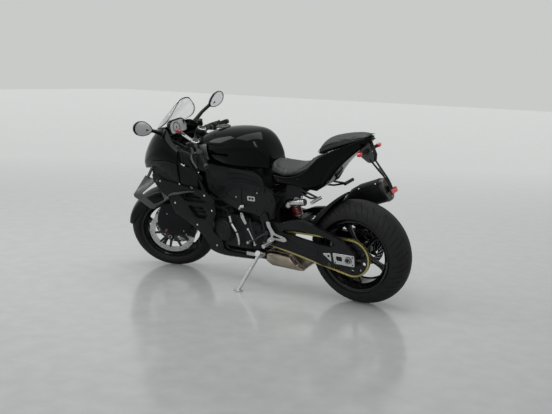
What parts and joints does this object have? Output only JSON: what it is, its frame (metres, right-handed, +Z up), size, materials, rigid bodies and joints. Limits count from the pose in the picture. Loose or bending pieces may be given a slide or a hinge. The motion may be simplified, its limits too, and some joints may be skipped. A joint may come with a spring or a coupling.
{
  "type": "sport motorcycle",
  "caption": "Full-fairing sport motorcycle parked on its side stand, with turning wheels, steering and a folding stand.",
  "frame": {"origin": "on the ground under the middle of the parked machine's bounding box", "axes": "+X towards the front wheel, +Y to the rider's left, +Z up"},
  "size_m": [2.0588, 0.9296, 1.2265],
  "materials": {
    "aluminium_silver": "satin silver",
    "caliper_black": "anodised black",
    "chain_gold": "gold plated links",
    "disc_black": "dark, perforated",
    "disc_steel": "machined, perforated",
    "engine_grey": "dark grey casting",
    "exhaust_bronze": "heat tinted steel",
    "frame_black": "satin black coat",
    "gloss_black": "gloss black paint",
    "lens_red": "red lens",
    "levers_grey": "anodised dark grey",
    "mirror_glass": "mirror glass",
    "plastic_black": "fine grained black plastic",
    "rubber_black": "moulded rubber",
    "satin_black": "satin dark grey",
    "screen_clear": "clear acrylic",
    "seat_vinyl": "dark grey vinyl",
    "spring_red": "red coil spring",
    "steel_dark": "heat darkened steel",
    "tyre": "matt rubber",
    "wheel_black": "satin black"
  },
  "bodies": {
    "chassis": {"axle_blocks": "aluminium_silver", "belly_pan": "satin_black", "chain": "chain_gold", "dash": "plastic_black", "engine": "engine_grey", "engine_covers": "engine_grey", "exhaust_box": "exhaust_bronze", "exhaust_headers": "steel_dark", "foot_controls": "aluminium_silver", "frame_covers": "satin_black", "front_sprocket": "steel_dark", "front_stay": "plastic_black", "fuel_tank": "gloss_black", "link_pipe": "steel_dark", "main_frame": "frame_black", "mirror_glasses": "mirror_glass", "mirrors": "satin_black", "nose_fairing": "gloss_black", "passenger_footrests": "frame_black", "pillion_seat": "seat_vinyl", "plate_carrier": "plastic_black", "plate_reflector": "lens_red", "radiator": "plastic_black", "rear_axle": "aluminium_silver", "rear_caliper": "frame_black", "rear_hugger": "satin_black", "rear_indicators": "lens_red", "rider_footrests": "frame_black", "rider_seat": "seat_vinyl", "shock_absorber": "aluminium_silver", "shock_spring": "spring_red", "side_fairings": "satin_black", "silencer": "plastic_black", "stand_bracket": "aluminium_silver", "subframe": "frame_black", "swingarm": "frame_black", "swingarm_bridge": "frame_black", "tail_fairing": "gloss_black", "windscreen": "screen_clear", "winglets": "satin_black"},
    "front_wheel": {"front_discs": "disc_steel", "front_rim": "wheel_black", "front_tyre": "tyre"},
    "rear_wheel": {"rear_disc": "disc_black", "rear_rim": "wheel_black", "rear_spokes": "wheel_black", "rear_sprocket": "aluminium_silver", "rear_tyre": "tyre"},
    "front_end": {"brake_hoses": "rubber_black", "fork_lowers": "frame_black", "fork_tubes": "frame_black", "front_axle": "aluminium_silver", "front_calipers": "caliper_black", "front_mudguard": "satin_black", "grips": "rubber_black", "handlebars": "frame_black", "levers": "levers_grey", "switch_pods": "plastic_black", "yokes": "frame_black"},
    "side_stand": {"side_stand": "aluminium_silver"}
  },
  "joints": [
    {"name": "steering", "type": "hinge", "parent": "chassis", "child": "front_end", "pos_m": [0.72815, -0.14445, 0.27859], "axis": [-0.3958, 0.1617, 0.904], "range_deg": [-54, 0]},
    {"name": "front_wheel_spin", "type": "hinge", "parent": "front_end", "child": "front_wheel", "pos_m": [0.75159, -0.12987, 0.28624], "axis": [-0.4169, 0.8455, -0.3337], "continuous": true},
    {"name": "rear_wheel_spin", "type": "hinge", "parent": "chassis", "child": "rear_wheel", "pos_m": [-0.70236, -0.13643, 0.32342], "axis": [0, 0.9844, -0.1761], "continuous": true},
    {"name": "side_stand_fold", "type": "hinge", "parent": "chassis", "child": "side_stand", "pos_m": [-0.0527, -0.00276, 0.23018], "axis": [0.0518, 0.9042, 0.4239], "range_deg": [0, 106]}
  ]
}
